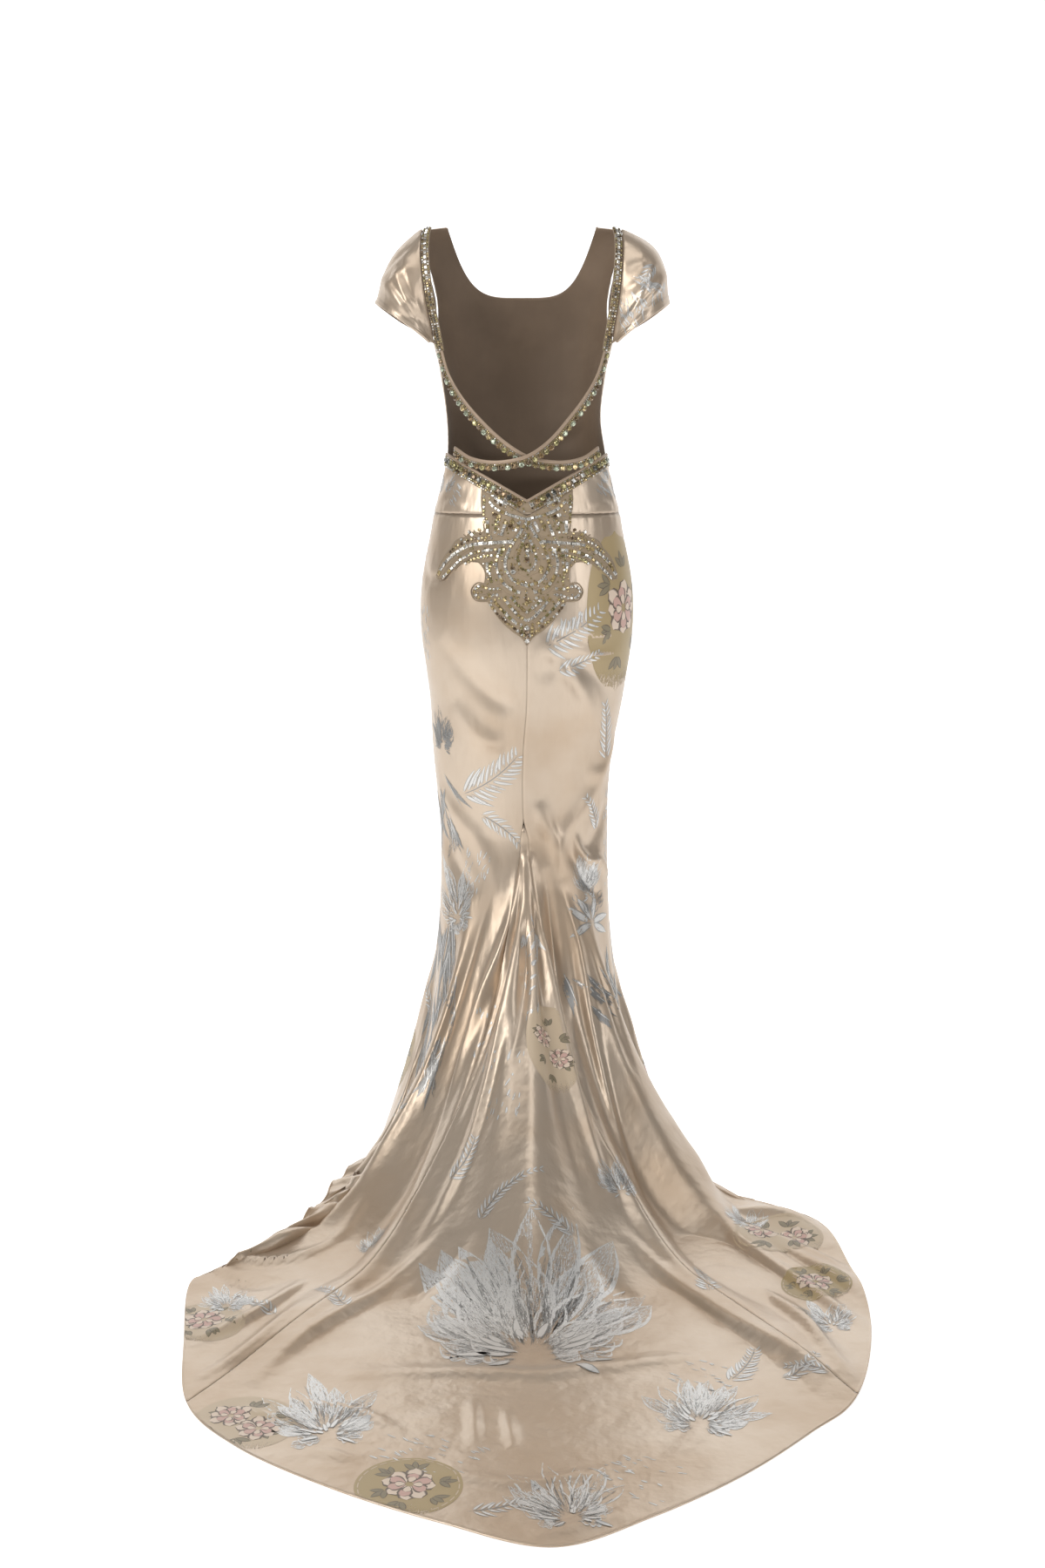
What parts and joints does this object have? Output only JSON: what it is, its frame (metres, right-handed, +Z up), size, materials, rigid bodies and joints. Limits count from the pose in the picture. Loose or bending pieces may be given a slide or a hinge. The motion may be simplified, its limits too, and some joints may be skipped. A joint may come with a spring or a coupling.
{
  "type": "evening gown",
  "caption": "Long fitted evening gown in its worn shape, with cap sleeves, an open back crossed by beaded straps, a beaded hip applique and a flared train",
  "frame": {"origin": "midway between the shoulders, on the level of the shoulder seams, 1500 mm above the floor", "axes": "+Z up, +Y the way the wearer faces, +X to the wearer's right; the train runs out along -Y"},
  "size_m": [0.9405, 1.4485, 1.5072],
  "materials": {
    "satin": "champagne silk satin with a soft sheen",
    "binding": "plain satin binding",
    "beadwork": "gold, sage and crystal beads on cloth"
  },
  "bodies": {
    "root": {"bodice_front": "satin", "neck_binding": "binding", "back_strip_left": "beadwork", "back_strip_right": "beadwork", "sleeve_left": "satin", "sleeve_right": "satin", "strap_left": "beadwork", "strap_right": "beadwork", "waist_band": "beadwork", "yoke_back": "satin", "back_left": "satin", "back_right": "satin", "train_gusset": "satin", "skirt_front": "satin", "applique": "beadwork"}
  },
  "joints": []
}
